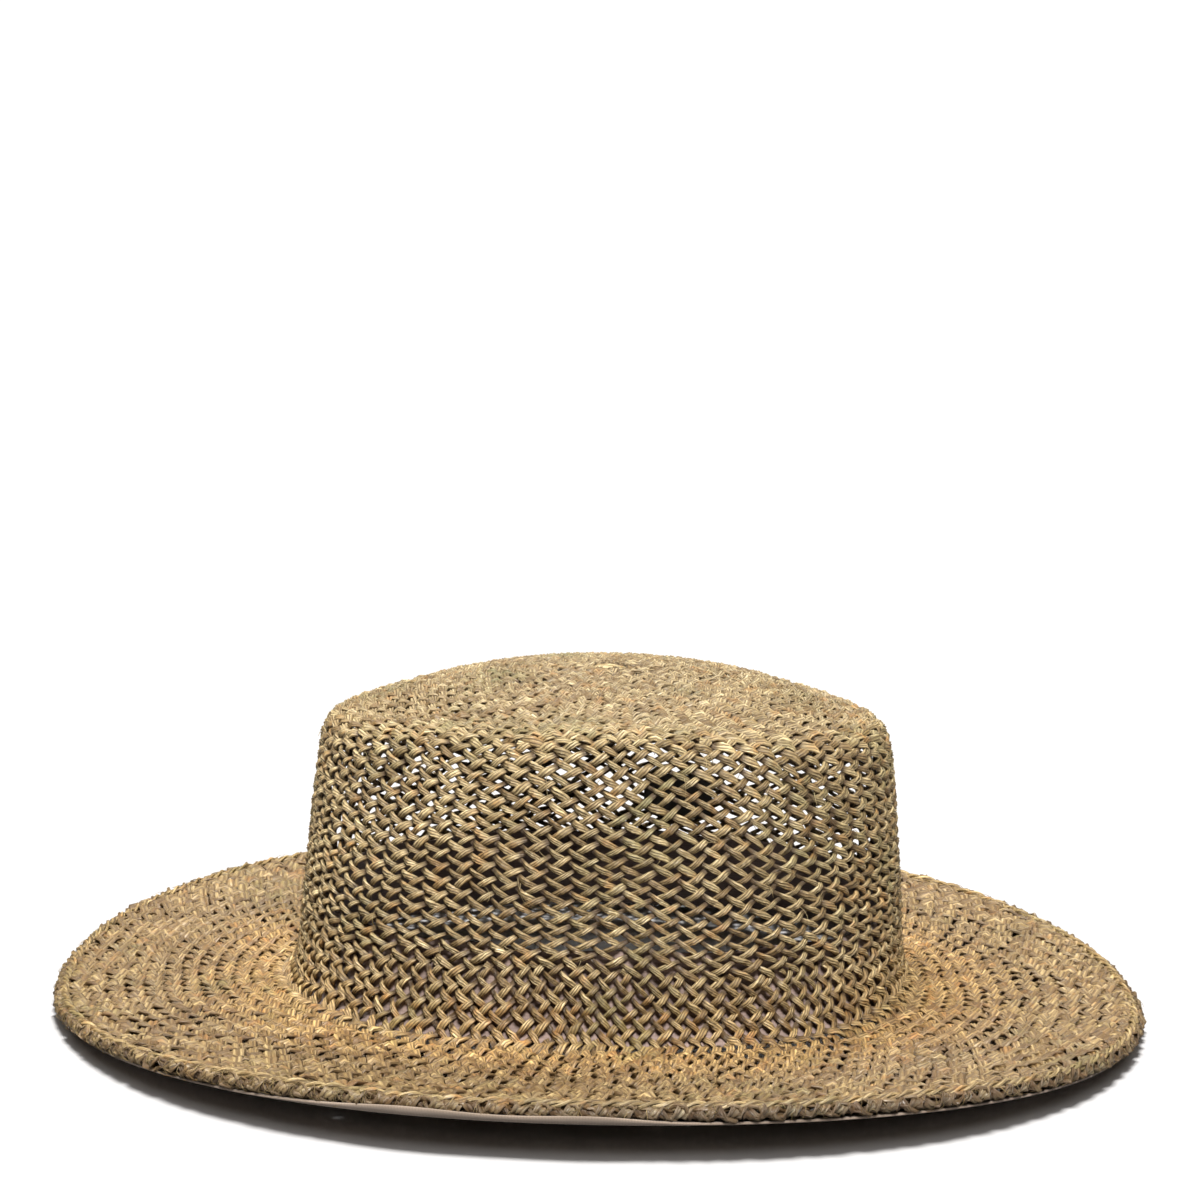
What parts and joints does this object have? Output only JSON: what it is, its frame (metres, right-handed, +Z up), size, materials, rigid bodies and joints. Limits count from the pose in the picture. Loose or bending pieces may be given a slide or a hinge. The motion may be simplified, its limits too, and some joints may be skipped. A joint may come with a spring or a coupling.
{
  "type": "straw gambler hat",
  "caption": "Openwork straw gambler hat: oval crown with a gently domed top, wide brim with a turned edge, edge tape, inner band and blank label.",
  "frame": {"origin": "on the surface that the hat rests on, under the middle of the crown: the bottom centre of the bounding box", "axes": "+Z up out of the crown's top, X along the long axis of the head, Y across it"},
  "size_m": [0.3618, 0.3364, 0.111],
  "materials": {
    "woven_straw": "twisted seagrass cord, woven as an open diagonal net, dry and matt",
    "tape_cloth": "smooth grey-beige cloth tape, matt",
    "band_cloth": "fine ribbed taupe cloth, matt",
    "label_cloth": "blank dark grey woven cloth, matt"
  },
  "bodies": {
    "root": {"woven_body": "woven_straw", "edge_tape": "tape_cloth", "sweatband": "band_cloth", "label": "label_cloth"}
  },
  "joints": []
}
